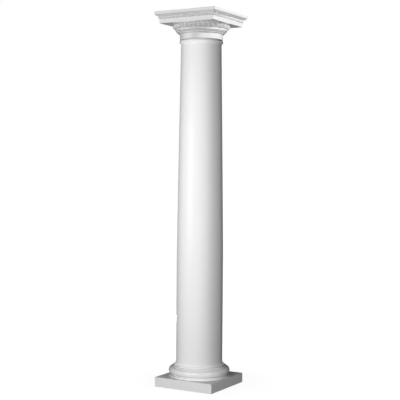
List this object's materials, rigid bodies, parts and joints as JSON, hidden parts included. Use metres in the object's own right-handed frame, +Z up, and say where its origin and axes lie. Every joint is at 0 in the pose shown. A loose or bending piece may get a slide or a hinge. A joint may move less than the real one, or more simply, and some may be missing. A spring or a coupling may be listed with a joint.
{
  "type": "round column",
  "caption": "White round column with a square plinth, torus base, plain tapered hollow shaft in half shells, and a carved capital with a square abacus.",
  "frame": {"origin": "centre of the square plinth's underside, on the floor", "axes": "+Z up along the axis of the shaft, +X and +Y along the sides of the square plinth and abacus; the shaft's two half shells meet on the plane Y = 0"},
  "size_m": [0.448, 0.448, 2.438],
  "materials": {
    "plinth_paint": "satin white paint with a faint brushed grain",
    "moulding_paint": "semi-gloss white paint on a moulded composite",
    "shaft_paint": "smooth semi-gloss white paint on a moulded composite"
  },
  "bodies": {
    "root": {"plinth": "plinth_paint", "base_moulding": "moulding_paint", "shaft_front_half": "shaft_paint", "shaft_back_half": "shaft_paint", "capital": "moulding_paint"}
  },
  "joints": []
}
